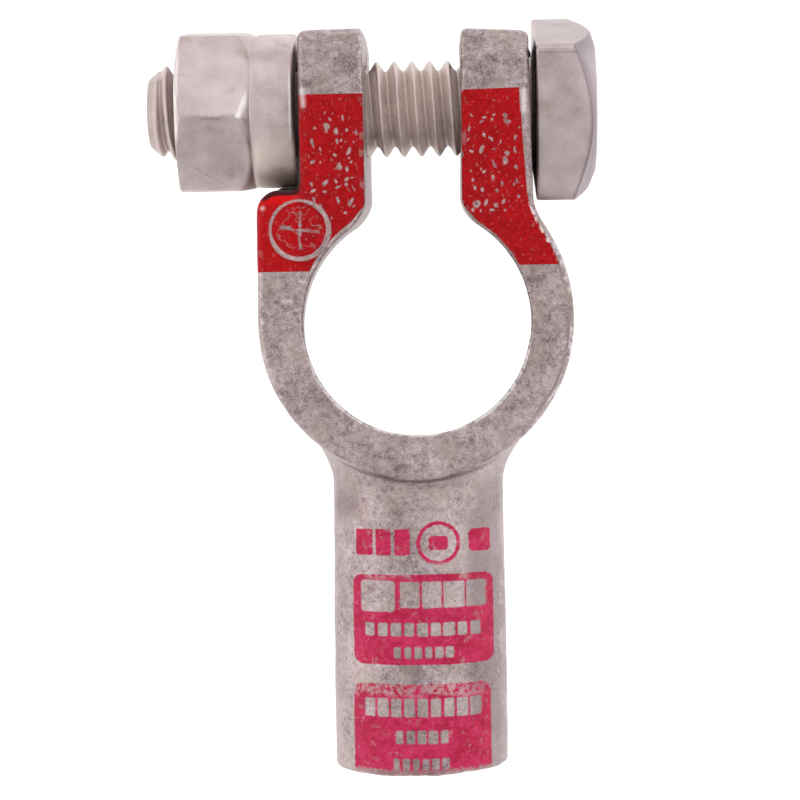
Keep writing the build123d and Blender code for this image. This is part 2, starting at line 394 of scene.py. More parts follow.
def finish_lathe(name, P, quads, body_noise, seed, attributes=None):
    X, Y, Z = P.T
    n = body_noise * (noise(X / 1.9, Y / 1.9, Z / 1.9, seed) + 0.5 * noise(X / 0.8, Y / 0.8, Z / 0.8, seed + 1))
    rad = np.hypot(Y - bolt_y, Z)
    k = 1 - (np.abs(n) * 0 + (body_noise * 1.5 - n) / np.maximum(rad, 0.5)) * step(0.3, 2.0, rad)
    Q = P.copy()
    Q[:, 1] = bolt_y + (Y - bolt_y) * k
    Q[:, 2] = Z * k
    return grid_object(name, Q, quads, attributes)


def build_bolt():
    n_t = 200
    th = np.arange(n_t) * 2 * math.pi / n_t
    one = np.ones(n_t)
    rows = []

    def ring(x, r):
        rows.append((x * one, r * one, th))

    r_tip = thread_r - tip_chamfer
    for r in (0.25, 0.8, 1.5, 2.05, 2.4):
        ring(tip_x + 0.06 * (1 - (r / 2.4) ** 2) + 0.004, r)
    # rounded run-in, then the thread, then its run-out into the shank
    for q in np.linspace(0, 1, 5)[:-1]:
        ring(tip_x + 0.10 * (1 - math.cos(q * math.pi / 4)) + 0.004, 2.4 + (r_tip - 2.46) * q)
    n_rows = int((thread_end + 0.9 - tip_x - 0.04) / 0.078)
    for x in np.linspace(tip_x + 0.04, thread_end + 0.9, n_rows):
        fade = float(step(thread_end + 0.5, thread_end - 1.3, np.array(x)))
        crest = thread_r + (shank_r - thread_r) * (1 - fade)
        lead = float(step(tip_x + 0.4, tip_x + 1.4, np.array(x)))
        r = thread_radius(x * one, th, crest, thread_depth * (0.02 + 0.98 * fade) * (0.05 + 0.95 * lead))
        r = smin(r, (r_tip + (x - tip_x) * 0.85) * one, 0.22)
        rows.append((x * one, r, th))
    for x in np.linspace(thread_end + 1.3, head_x0 - 0.35, 9):
        ring(x, shank_r)
    for q in np.linspace(0, 1, 6)[1:]:
        a = q * math.pi / 2
        ring(head_x0 - 0.32 + 0.32 * math.sin(a) * 1.0, shank_r + 0.32 * (1 - math.cos(a)))
    square = polygon_radius(th, 4, head_af / 2, head_face_at, 0.36)
    inner_r = shank_r + 0.32
    for q in np.linspace(0, 1, 9)[1:-1]:
        rows.append((head_x0 * one, inner_r + (square - 0.28 - inner_r) * q, th))
    # edge under the head
    for q in np.linspace(0, 1, 7):
        a = q * math.pi / 2
        rows.append(((head_x0 + 0.26 * (1 - math.cos(a))) * one, square - 0.26 * (1 - math.sin(a)), th))
    slope = math.tan(math.radians(30.0))
    # where the side meets the 30 degree chamfer, for each angle
    x_meet = head_x1 - np.maximum(square - head_end_r, 0.0) * slope
    x_side0 = head_x0 + 0.26
    for q in np.linspace(0, 1, 18)[1:]:
        x = x_side0 + (x_meet - 0.22 - x_side0) * q
        rows.append((x, square.copy(), th))
    for q in np.linspace(0, 1, 9)[1:]:
        # quarter of a soft corner between side and chamfer
        x0, r0 = x_meet - 0.22, square
        x2, r2 = x_meet + 0.22 * 0.5, np.maximum(square - 0.22 * 0.5 / slope, head_end_r - 0.4)
        w0, w1, w2 = (1 - q) ** 2, 2 * q * (1 - q), q * q
        rows.append((w0 * x0 + w1 * x_meet + w2 * x2, w0 * r0 + w1 * square + w2 * r2, th))
    x_a, r_a = rows[-1][0], rows[-1][1]
    r_b = head_end_r - 0.25
    x_b = head_x1 - 0.03
    for q in np.linspace(0, 1, 10)[1:]:
        rows.append((x_a + (x_b - x_a) * q, r_a + (r_b - r_a) * q, th))
    for r in (4.4, 4.0, 3.2, 2.4, 1.6, 0.8, 0.25):
        ring(head_x1 - 0.012 + 0.012 * math.cos(min(1, (4.75 - r) / 0.75) * math.pi) * -1, r)
    P, quads, idx = lathe("bolt", rows, False)
    # caps
    c0 = len(P)
    P = np.vstack([P, [[P[idx[0, 0], 0], bolt_y, 0.0], [P[idx[-1, 0], 0], bolt_y, 0.0]]])
    P[:, 1] += head_shift * step(head_x0 - 0.001, head_x0 + 0.02, P[:, 0]) * 1.0
    t0 = np.stack([np.full(n_t, c0), np.roll(idx[0], -1), idx[0]], -1)
    t1 = np.stack([np.full(n_t, c0 + 1), idx[-1], np.roll(idx[-1], -1)], -1)
    tris = np.vstack([np.vstack([quads[:, [0, 1, 2]], quads[:, [0, 2, 3]]]), t0, t1])
    return finish_lathe("pinch_bolt", P, tris, 0.012, 40)


def build_nut():
    n_t = 288
    th = np.arange(n_t) * 2 * math.pi / n_t
    one = np.ones(n_t)
    rows = []
    hexa = polygon_radius(th, 6, nut_af / 2, nut_face_at, 0.40)
    slope = math.tan(math.radians(nut_outer_slope))
    clear = 0.09
    mouth = thread_r + 0.30

    # the outer chamfer was cut unevenly: deep at the front corner, shallow at the lower one
    def lobe(centre, width):
        d = np.mod(th - math.radians(centre) + math.pi, 2 * math.pi) - math.pi
        return np.exp(-(d / math.radians(width)) ** 2)

    end_r = nut_outer_end_r + 0.72 * lobe(164, 24) - 0.24 * lobe(98, 26)

    def outside(x):
        r = hexa.copy()
        cone = end_r + (x - nut_out) / slope
        r = smin(r, cone * one, 0.36)
        back = collar_r + (nut_hex_end - x) * 1.0
        r = smin(r, np.maximum(back, collar_r) * one, 0.34)
        return np.minimum(r, np.where(x > nut_hex_end, collar_r, r))

    for q in np.linspace(0, 1, 9):
        r = mouth + (smin(hexa, end_r, 0.36) - 0.12 - mouth) * q
        rows.append((one * (nut_out + 0.003), r, th))
    for x in np.concatenate([nut_out + 0.006 + np.linspace(0.0, 0.75, 30) ** 1.15,
                             np.linspace(nut_out + 0.85, nut_hex_end - 1.35, 20)]):
        rows.append((one * x, outside(x), th))
    for x in np.linspace(nut_hex_end - 1.28, nut_hex_end + 0.25, 26):
        rows.append((one * x, outside(x), th))
    for x in np.linspace(nut_hex_end + 0.5, nut_in - 0.28, 12):
        rows.append((one * x, collar_r * one, th))
    for q in np.linspace(0, 1, 9)[1:]:
        a = q * math.pi / 2
        rows.append((one * (nut_in - 0.26 + 0.26 * math.sin(a)), one * (collar_r - 0.26 * (1 - math.cos(a))), th))
    for q in np.linspace(0, 1, 8)[1:]:
        r = collar_r - 0.26 + (mouth - collar_r + 0.26) * q
        rows.append((one * (nut_in - 0.001), one * r, th))
    for x in np.linspace(nut_in - 0.02, nut_out + 0.02, 110):
        r = thread_radius(x * one, th, thread_r, thread_depth) + clear
        ease = max(0.0, 1 - min(x - nut_out, nut_in - x) / 0.55)
        r = smax(r, one * (thread_r - thread_depth + 1.15 * ease + 0.02), 0.08)
        rows.append((one * x, r, th))
    P, quads, idx = lathe("nut", rows, True)
    P[:, 1] += 0.08 * step(nut_hex_end + 0.1, nut_hex_end - 1.0, P[:, 0]) * step(4.6, 5.2, np.hypot(P[:, 1] - bolt_y, P[:, 2]))
    return finish_lathe("shouldered_nut", P, quads, 0.010, 60)


# ------------------------------------------------------------- materials ---
class Tree:
    """Small helper that writes a material's maths as expressions."""

    def __init__(self, name):
        self.mat = bpy.data.materials.new(name)
        self.mat.use_nodes = True
        self.nt = self.mat.node_tree
        self.nt.nodes.clear()
        self.out = self.nt.nodes.new("ShaderNodeOutputMaterial")
        self.bsdf = self.nt.nodes.new("ShaderNodeBsdfPrincipled")
        self.nt.links.new(self.bsdf.outputs[0], self.out.inputs[0])
        tc = self.nt.nodes.new("ShaderNodeTexCoord")
        sc = self.nt.nodes.new("ShaderNodeVectorMath")
        sc.operation = "SCALE"
        sc.inputs["Scale"].default_value = 1000.0
        self.nt.links.new(tc.outputs["Object"], sc.inputs[0])
        self.p = sc.outputs[0]
        sep = self.nt.nodes.new("ShaderNodeSeparateXYZ")
        self.nt.links.new(self.p, sep.inputs[0])
        self.x, self.y, self.z = (E(self, sep.outputs[i]) for i in range(3))

    def put(self, socket, value):
        if isinstance(value, E):
            self.nt.links.new(value.s, socket)
        elif hasattr(value, "is_output"):
            self.nt.links.new(value, socket)
        else:
            socket.default_value = value

    def math(self, op, a, b=None, c=None):
        n = self.nt.nodes.new("ShaderNodeMath")
        n.operation = op
        for i, v in enumerate((a, b, c)):
            if v is not None:
                self.put(n.inputs[i], v)
        return E(self, n.outputs[0])

    def range(self, v, a, b, lo=0.0, hi=1.0, smooth=True):
        n = self.nt.nodes.new("ShaderNodeMapRange")
        n.interpolation_type = "SMOOTHSTEP" if smooth else "LINEAR"
        self.put(n.inputs["Value"], v)
        self.put(n.inputs["From Min"], a)
        self.put(n.inputs["From Max"], b)
        self.put(n.inputs["To Min"], lo)
        self.put(n.inputs["To Max"], hi)
        return E(self, n.outputs["Result"])

    def vec(self, x, y, z=0.0):
        n = self.nt.nodes.new("ShaderNodeCombineXYZ")
        for i, v in enumerate((x, y, z)):
            self.put(n.inputs[i], v)
        return n.outputs[0]

    def noise(self, scale, detail=2.0, rough=0.5, vector=None, distortion=0.0, offset=None):
        n = self.nt.nodes.new("ShaderNodeTexNoise")
        n.noise_dimensions = "3D"
        v = vector if vector is not None else self.p
        if offset is not None:
            m = self.nt.nodes.new("ShaderNodeVectorMath")
            m.operation = "ADD"
            self.nt.links.new(v, m.inputs[0])
            m.inputs[1].default_value = offset
            v = m.outputs[0]
        self.nt.links.new(v, n.inputs["Vector"])
        n.inputs["Scale"].default_value = scale
        n.inputs["Detail"].default_value = detail
        n.inputs["Roughness"].default_value = rough
        n.inputs["Distortion"].default_value = distortion
        return E(self, n.outputs[0])

    def cells(self, scale, vector=None, randomness=1.0, feature="F1", dim="3D", color=False):
        n = self.nt.nodes.new("ShaderNodeTexVoronoi")
        n.voronoi_dimensions = dim
        n.feature = feature
        self.nt.links.new(vector if vector is not None else self.p, n.inputs["Vector"])
        n.inputs["Scale"].default_value = scale
        n.inputs["Randomness"].default_value = randomness
        d = E(self, n.outputs["Distance"])
        return (d, n.outputs["Color"]) if color else d

    def attr(self, name):
        n = self.nt.nodes.new("ShaderNodeAttribute")
        n.attribute_name = name
        n.attribute_type = "GEOMETRY"
        return E(self, n.outputs["Fac"])

    def mix(self, f, a, b):
        n = self.nt.nodes.new("ShaderNodeMix")
        n.data_type = "RGBA"
        n.clamp_factor = True
        self.put(n.inputs[0], f)
        self.put(n.inputs[6], a)
        self.put(n.inputs[7], b)
        return n.outputs[2]

    def bump(self, height, distance, strength=1.0):
        n = self.nt.nodes.new("ShaderNodeBump")
        n.inputs["Strength"].default_value = strength
        n.inputs["Distance"].default_value = distance
        self.put(n.inputs["Height"], height)
        self.nt.links.new(n.outputs[0], self.bsdf.inputs["Normal"])
        return n

    def set(self, **k):
        for key, v in k.items():
            self.put(self.bsdf.inputs[key.replace("_", " ")], v)


class E:
    def __init__(self, tree, socket):
        self.t, self.s = tree, socket

    def __add__(self, o): return self.t.math("ADD", self, o)
    def __radd__(self, o): return self.t.math("ADD", o, self)
    def __sub__(self, o): return self.t.math("SUBTRACT", self, o)
    def __rsub__(self, o): return self.t.math("SUBTRACT", o, self)
    def __mul__(self, o): return self.t.math("MULTIPLY", self, o)
    def __rmul__(self, o): return self.t.math("MULTIPLY", o, self)
    def __truediv__(self, o): return self.t.math("DIVIDE", self, o)
    def __neg__(self): return self.t.math("MULTIPLY", self, -1.0)
    def abs(self): return self.t.math("ABSOLUTE", self)
    def min(self, o): return self.t.math("MINIMUM", self, o)
    def max(self, o): return self.t.math("MAXIMUM", self, o)
    def sqrt(self): return self.t.math("SQRT", self)
    def floor(self): return self.t.math("FLOOR", self)


def rgb(r, g, b):
    """Linear colour from 0..255 display values."""
    def lin(v):
        v = v / 255.0
        return v / 12.92 if v <= 0.04045 else ((v + 0.055) / 1.055) ** 2.4
    return (lin(r), lin(g), lin(b), 1.0)


def round_box(t, x, y, cx, cy, w, h, r):
    """Distance to a rounded rectangle's edge, negative inside."""
    qx = ((x - cx).abs() - (w / 2 - r))
    qy = ((y - cy).abs() - (h / 2 - r))
    ox, oy = qx.max(0.0), qy.max(0.0)
    return (ox * ox + oy * oy).sqrt() + qx.max(qy).min(0.0) - r


def casting_material():
    t = Tree("tin_plated_casting")
    x, y, z = t.x, t.y, t.z
    depth, wall_x, wall_y = t.attr("depth"), t.attr("wall_x"), t.attr("wall_y")
    inner, front, edge = t.attr("inner"), t.attr("front"), t.attr("edge")

    # bare metal: blotches, grain and small dark pits
    big = t.noise(0.16, 3.0, 0.55)
    mid = t.noise(0.75, 3.0, 0.6, offset=(7.0, 3.0, 1.0))
    fine = t.noise(2.6, 3.0, 0.65, offset=(1.0, 9.0, 4.0))
    grain = t.noise(7.0, 2.0, 0.6, offset=(5.0, 2.0, 8.0))
    tone = big * 0.20 + mid * 0.22 + fine * 0.34 + grain * 0.24
    tone = t.range(tone, 0.405, 0.595, smooth=False)
    metal = t.mix(tone, rgb(127, 109, 111), rgb(207, 190, 191))
    warm = t.range(t.noise(0.55, 2.0, 0.5, offset=(11.0, 0.0, 2.0)), 0.42, 0.64)
    metal = t.mix(warm * 0.35, metal, rgb(172, 157, 146))
    pits = t.cells(1.25, randomness=1.0)
    pit_on = t.range(t.noise(0.5, 2.0, 0.5, offset=(3.0, 3.0, 3.0)), 0.44, 0.62)
    pit = t.range(pits + grain * 0.18, 0.22, 0.15) * pit_on
    metal = t.mix(pit * 0.55, metal, rgb(94, 78, 80))
    # painted highlights: glints on sharp convex edges, a broken bright line along the ring's right outer rim, and pale
    # rims along the slot and the bore's lower edge
    edge_glint = t.range(edge, 0.45, 1.0) * t.range(fine * 0.5 + grain * 0.5, 0.57, 0.64) * t.range(y, -8.0, -6.0)
    outer_rim_glint = t.range(wall_x, 0.55, 0.85) * (1.0 - inner) * t.range(y, 7.0, 5.5) * t.range(y, -9.0, -7.0) * t.range(front, 0.92, 0.75) * t.range(front, 0.2, 0.45)
    broken = t.range(mid * 0.45 + fine * 0.55, 0.50, 0.57)
    slot_rim_highlight = inner * t.range(wall_x, 0.3, 0.8) * t.range(y, 8.2, 9.2) * t.range(front, 0.93, 0.75) * t.range(front, -0.1, 0.2)
    bore_rim_highlight = inner * t.range(wall_y, 0.02, 0.35) * t.range(front, 0.95, 0.80) * t.range(front, 0.15, 0.35) * t.range(y, 3.0, 1.0)
    bore_rim_highlight = bore_rim_highlight * t.range(mid * 0.5 + fine * 0.5, 0.40, 0.54, 0.15, 1.0)
    shine = (edge_glint * 0.45).max(outer_rim_glint * broken * 0.40).max(bore_rim_highlight * 0.85)
    metal = t.mix(slot_rim_highlight * t.range(fine, 0.35, 0.60, 0.3, 0.8), metal, rgb(224, 212, 212))
    metal = t.mix(shine, metal, rgb(244, 238, 238))
    rim_line = t.range(wall_x, 0.45, 0.75) * (1.0 - inner) * t.range(front, 0.995, 0.975) * t.range(front, 0.84, 0.92) * t.range(y, 5.5, 4.0) * t.range(y, -8.5, -6.5)
    metal = t.mix(rim_line * t.range(fine * 0.6 + mid * 0.4, 0.40, 0.54, 0.2, 0.8) * 0.6, metal, rgb(96, 80, 82))
    # painted shade in the concave fillets around the neck
    neck_crease_shade = t.range(edge, -0.15, -0.8) * t.range(y, -14.0, -11.0)
    metal = t.mix(neck_crease_shade * 0.30, metal, rgb(104, 88, 88))
    # a thin brown line of painted shade in the crease where the barrel leaves the ring, on the front only
    rx, ry = x - ring_cx, y - ring_cy
    foot = ((rx * rx + ry * ry).sqrt() - (ring_r + 0.10) + (fine - 0.5) * 0.25).abs()
    neck_shade_line = t.range(foot, 0.20, 0.05) * t.range(y, -8.6, -9.6) * t.range(front.abs(), 0.99, 0.90).max(t.range(foot, 0.14, 0.04)) * t.range(z, 4.0, 5.5)
    metal = t.mix(neck_shade_line * t.range(fine * 0.5 + mid * 0.5, 0.36, 0.56, 0.20, 0.58), metal, rgb(96, 74, 70))
    # stains down the barrel, partly painted shade: its right flank and the middle of its lower half are darkened where
    # the light falls off
    wave = (mid - 0.5) * 1.6 + (fine - 0.5) * 0.6
    flank_stain_and_shade = t.range(x + wave, 3.3, 4.3) * t.range(x + wave, 6.7, 6.0) * t.range(y, -13.5, -16.0)
    centre_stain_and_shade = t.range((x + 0.45 + wave * 0.5).abs(), 0.9, 0.2) * t.range(y, -25.5, -27.5)
    mottle = t.range(fine * 0.45 + grain * 0.25 + mid * 0.30, 0.40, 0.57, 0.45, 1.0)
    metal = t.mix((flank_stain_and_shade * 0.40 + centre_stain_and_shade * 0.25) * mottle, metal, rgb(96, 82, 86))
    # painted shade: two soft dark patches beside the neck, on the front only
    sl = ((x + 6.1) * (x + 6.1) * 0.9 + (y + 14.3) * (y + 14.3) * 0.42).sqrt() + (mid - 0.5) * 1.2
    sr = ((x - 5.9) * (x - 5.9) * 0.9 + (y + 13.7) * (y + 13.7) * 0.42).sqrt() + (mid - 0.5) * 1.2
    neck_side_shade = t.range(sl, 1.7, 0.4).max(t.range(sr, 1.7, 0.4)) * t.range(z, 1.0, 2.5)
    metal = t.mix(neck_side_shade * t.range(fine * 0.5 + grain * 0.5, 0.42, 0.60) * 0.6, metal, rgb(88, 70, 72))

    # red paint on the marked face of the lug and ears
    wob = (mid - 0.5) * 0.10 + (fine - 0.5) * 0.08
    left = t.range(x, -1.0, 1.0, 1.0, 0.0)
    top_y = left * 17.71 + (1.0 - left) * (x * 0.024 + 17.77)
    low_y = left * 3.99 + (1.0 - left) * 4.25
    band = (top_y - y).min(y - low_y) + wob * 0.6
    # how far in from the walls the paint starts: it runs over the edges that
    # look to -X and over the slot's edges, and stops short of the others
    right_gap = t.range(y, 8.4, 17.8, 0.44, 0.85, smooth=False)
    out_gap = t.range(wall_x, -0.35, 0.35, 0.0, 1.0)
    out_gap = out_gap * right_gap
    slot_zone = t.range(y, 8.2, 9.2)
    bore_gap = t.range(wall_x, -0.5, 0.5, 0.26, 0.42)
    in_gap = bore_gap * (1.0 - slot_zone) + slot_zone * t.range(wall_x, -0.5, 0.5, -0.05, 0.05)
    gap = out_gap * (1.0 - inner) + inner * in_gap
    over = depth - gap + wob * 1.1
    painted = t.range(band, -0.01, 0.03) * t.range(over, -0.03, 0.04) * t.range(front, 0.10, 0.28) * t.range(z, 6.2, 6.6)
    # worn spots, thick in the middle of each ear
    warp_a = t.noise(1.1, 0.0, 0.5, offset=(20.0, 0.0, 0.0))
    warp_b = t.noise(1.1, 0.0, 0.5, offset=(0.0, 20.0, 0.0))
    flat = t.vec(x + (warp_a - 0.5) * 0.75, y * 0.84 + (warp_b - 0.5) * 0.75)
    spots, spot_col = t.cells(1.22, vector=flat, dim="2D", color=True, randomness=0.80)
    srnd = t.nt.nodes.new("ShaderNodeSeparateColor")
    t.nt.links.new(spot_col, srnd.inputs[0])
    rnd = E(t, srnd.outputs[0])
    ex = (x + 6.2) * 0.40
    ey = (y - 12.1) * 0.225
    zone_l = t.range(ex * ex + ey * ey, 1.15, 0.70)
    fx = (x - 5.9) * 0.37
    fy = (y - 12.2) * 0.205
    zone_r = t.range(fx * fx + fy * fy, 1.20, 0.70)
    zone = zone_l.max(zone_r)
    size = (rnd * 0.17 + 0.075) * zone
    spot = t.range(spots - size, 0.06, -0.06) * t.range(fine * 0.6 + grain * 0.4, 0.34, 0.50, 0.6, 1.0)
    small, small_col = t.cells(2.3, vector=flat, dim="2D", color=True, randomness=0.9)
    srnd2 = t.nt.nodes.new("ShaderNodeSeparateColor")
    t.nt.links.new(small_col, srnd2.inputs[0])
    spot2 = t.range(small - (E(t, srnd2.outputs[0]) * 0.26 - 0.06), 0.08, -0.08)
    # the raised ring and plus have lost their paint on top
    mx, my = x - mark_x, y - mark_y
    fade = t.range(mx * 0.7 - my * 0.7, -1.7, -0.4, 0.09, 0.0)
    ring_d = ((mx * mx + my * my).sqrt() - (mark_r - mark_line / 2)).abs() - mark_line * 0.42 + fade
    mx = mx + (mid - 0.5) * 0.7
    my = my + (fine - 0.5) * 0.5
    arm_a = (mx.abs() - plus_len / 2).max((my + mx * 0.13).abs() - plus_w * 0.30)
    arm_b = (my.abs() - plus_len / 2 + 0.1).max(mx.abs() - plus_w * 0.30)
    plus_d = arm_a.min(arm_b)
    # its upper and right arms are the more faded ones
    kept = 1.0 - (t.range(mx, 0.3, 0.8) * 0.50).max(t.range(my, 0.4, 0.9) * 0.45)
    scrawl = t.noise(0.9, 1.0, 0.5, offset=(31.0, 5.0, 0.0))
    nick = (scrawl - 0.47).abs() * 4.0 - 0.05
    nick = nick.max((mx * mx + my * my).sqrt() - 1.75)
    worn_mark = t.range(ring_d + (fine - 0.5) * 0.22 + (mid - 0.5) * 0.26, 0.06, -0.03).max(
        t.range(plus_d + (fine - 0.5) * 0.70 + (grain - 0.5) * 0.30, 0.05, -0.05) * kept).max(
        t.range(nick + (fine - 0.5) * 0.34, 0.08, -0.06) * 0.45)
    rubbed = t.range(edge, 0.55, 1.0) * t.range(mid, 0.54, 0.66)
    bare = (spot * 0.95).max(spot2 * 0.22)
    # painted highlight: bright dashes along the paint's edge on the right ear's outer rim
    dash_glint = t.range((depth - 0.50).abs(), 0.16, 0.05) * t.range(y, 4.4, 4.9) * t.range(y, 9.3, 8.8) * t.range(x, 6.5, 7.5) * (1.0 - inner)
    dash_glint = dash_glint * t.range(fine * 0.7 + mid * 0.3, 0.47, 0.56)
    paint = painted * (1.0 - (bare * 0.92).max(worn_mark * 0.88).max(rubbed * 0.25))
    red = t.mix(t.range(fine * 0.6 + grain * 0.4, 0.40, 0.60), rgb(156, 2, 10), rgb(182, 14, 22))
    red = t.mix(t.range(big * 0.4 + mid * 0.6, 0.42, 0.60) * 0.5, red, rgb(146, 6, 12))
    red = t.mix(t.range(grain * 0.5 + fine * 0.5, 0.50, 0.64) * t.range(mid, 0.40, 0.60) * 0.36, red, rgb(146, 44, 48))
    red = t.mix(t.range(x, -8.6, -9.6) * 0.40, red, rgb(192, 12, 18))
    hot = t.range(y, 8.9, 9.5) * t.range(x, -8.8, -9.6)
    red = t.mix(hot * 0.75, red, rgb(224, 10, 16))

    # printed panels on the barrel
    px, py = x, y
    wav = (mid - 0.5) * 0.14 + (fine - 0.5) * 0.10
    up = round_box(t, px, py, 0.11, -23.185, 11.0, 7.03, 0.75) + wav
    dn = round_box(t, px, py, -0.065, -32.50, 10.77, 8.60, 0.75) + wav

    def blocks(cx, cy, width, height, n, fill, seed):
        """A row of n plain bare blocks of uneven width."""
        p = width / n
        u = (px - (cx - width / 2)) / p
        cell = u.floor()
        wn = t.nt.nodes.new("ShaderNodeTexWhiteNoise")
        wn.noise_dimensions = "2D"
        t.nt.links.new(t.vec(cell, float(seed)), wn.inputs["Vector"])
        rv = E(t, wn.outputs["Value"])
        w = rv * (p * 0.20) + p * (fill - 0.10)
        lx = (((u - cell) - 0.5).abs() * p) - w / 2
        ly = (py - cy).abs() - height / 2
        ox, oy = (lx + 0.15).max(0.0), (ly + 0.15).max(0.0)
        d = (ox * ox + oy * oy).sqrt() - 0.15
        return d.max((px - cx).abs() - width / 2)

    rows_up = round_box(t, px, py, -3.42, -21.35, 2.7, 2.45, 0.30)
    rows_up = rows_up.min(blocks(1.68, -21.25, 6.9, 2.05, 4, 0.90, 3))
    rows_up = rows_up.min(blocks(0.05, -23.95, 9.3, 1.05, 9, 0.80, 5))
    rows_up = rows_up.min(blocks(0.10, -25.75, 4.9, 0.90, 6, 0.72, 9))
    rows_dn = blocks(-0.02, -30.05, 9.3, 1.45, 9, 0.84, 12)
    rows_dn = rows_dn.min(blocks(-0.10, -32.35, 4.4, 1.05, 5, 0.76, 17))
    rows_dn = rows_dn.min(blocks(-0.20, -34.45, 4.6, 0.90, 6, 0.70, 21))
    edge_n = (fine - 0.5) * 0.26 + (grain - 0.5) * 0.22
    ink = t.range(up, 0.04, -0.04) * t.range(rows_up + edge_n, -0.05, 0.05)
    ink = ink.max(t.range(dn, 0.04, -0.04) * t.range(rows_dn + edge_n, -0.05, 0.05))
    # a row of plain marks above the panels
    marks = blocks(-2.94, -17.14, 4.5, 2.05, 3, 0.80, 31)
    cxr, cyr = px - 1.38, py + 17.23
    ringm = ((cxr * cxr + cyr * cyr).sqrt() - 1.55).abs() - 0.15
    dot = round_box(t, px, py, 1.38, -17.23, 1.5, 1.1, 0.25)
    last = round_box(t, px, py, 4.62, -17.10, 1.80, 1.80, 0.45).max(px - 5.42)
    ink = ink.max(t.range(marks.min(ringm).min(dot).min(last) + edge_n * 0.45, 0.04, -0.04))
    thin_ink = t.range(t.noise(1.5, 3.0, 0.7, offset=(4.0, 14.0, 0.0)), 0.56, 0.70)
    thin_top = t.range(py + (mid - 0.5) * 1.2, -20.2, -19.7) * t.range(mid, 0.42, 0.60) * t.range(py, -18.6, -18.9)
    thin_top = thin_top.max(t.range(py + (mid - 0.5) * 1.2, -29.4, -28.8) * t.range(py, -27.5, -27.6) * t.range(fine, 0.40, 0.55))
    thin_end = t.range(py + (fine - 0.5) * 1.2, -34.75, -35.15)
    ink = ink * t.range(z, 2.6, 3.0) * t.range(y, -15.3, -15.4)
    # print is on the outside only, not in the cable bore
    ink = ink * t.range(((x - barrel_x) * (x - barrel_x) + z * z).sqrt(), barrel_r - 0.80, barrel_r - 0.60)
    ink = ink * (1.0 - thin_ink * 0.45) * (1.0 - thin_top * 0.6) * (1.0 - thin_end * 0.85)
    pink = t.mix(t.range(mid * 0.4 + fine * 0.4 + grain * 0.2, 0.40, 0.60), rgb(176, 30, 68), rgb(202, 54, 94))

    # painted shade, partly grime, along the lug's top edge and ledge under the nut's collar; painted shade on the ear
    # wall under the bolt head; and painted glints on the painted edges
    shade_and_grime = t.range(depth + (fine - 0.5) * 0.25, 0.60, 0.42) * t.range(y, 9.25, 9.75) * t.range(x, -8.75, -9.15) * t.range(z, 5.5, 6.5)
    shade_and_grime = shade_and_grime.max(t.range(y, 10.30, 10.42) * t.range(x, -12.2, -11.8) * t.range(x, -8.8, -9.05) * t.range(y, 11.4, 11.2) * t.range(z, 4.2, 5.4))
    under_head_shade = t.range(wall_x, 0.5, 0.85) * (1.0 - inner) * t.range(front.abs(), 0.60, 0.25) * t.range(y, 10.6, 11.6) * t.range(x, 8.5, 8.75)
    shade_and_grime = shade_and_grime.max(under_head_shade * 0.8)

    # a soft spot of painted highlight at a given place
    def glint_spot(cx, cy, w, h):
        return t.range(round_box(t, x, y, cx, cy, w, h, 0.10) + (fine - 0.5) * 0.36, 0.30, -0.16)

    glint = glint_spot(-8.60, 17.45, 0.16, 1.3).max(glint_spot(8.46, 16.95, 0.16, 1.7)).max(glint_spot(3.56, 17.95, 0.10, 0.3)).max(glint_spot(-11.86, 8.93, 0.12, 0.12))
    # painted highlights: dull soft glints at a few spots on the ring
    dull_glint = glint_spot(-8.84, 3.21, 0.34, 0.22).max(glint_spot(-10.05, 1.68, 0.75, 0.16)).max(glint_spot(-9.30, 1.10, 0.45, 0.10)).max(glint_spot(-12.02, 0.14, 0.10, 0.18)).max(glint_spot(8.50, -6.08, 0.10, 0.12))
    glint = glint.max(dull_glint * t.range(fine * 0.5 + grain * 0.5, 0.42, 0.55, 0.35, 1.0))
    glint = (glint * 0.62).max(dash_glint * 0.75 * t.range(front, 0.3, 0.6)) * t.range(z, 6.6, 7.1)

    col = t.mix(paint, metal, red)
    col = t.mix(ink, col, pink)
    # near-black painted shade under the collar and the bolt head, partly grime
    col = t.mix(shade_and_grime * 0.92, col, rgb(34, 20, 22))
    col = t.mix(glint, col, rgb(250, 236, 236))
    # paint, print, the painted shade and the bore's painted pale rim are not metal
    coat = paint.max(ink).max(shade_and_grime).max(bore_rim_highlight * 0.6)
    t.set(Base_Color=col)
    t.set(Metallic=1.0 - coat)
    rough = t.range(fine * 0.5 + mid * 0.5, 0.38, 0.62, 0.36, 0.52)
    t.set(Roughness=rough + coat * 0.06)
    t.bsdf.inputs["Specular IOR Level"].default_value = 0.10
    hgt = mid * 0.25 + fine * 0.45 + grain * 0.35 - pit * 0.5 + paint * 0.35
    t.bump(hgt, 0.00011, 0.75)
    return t.mat


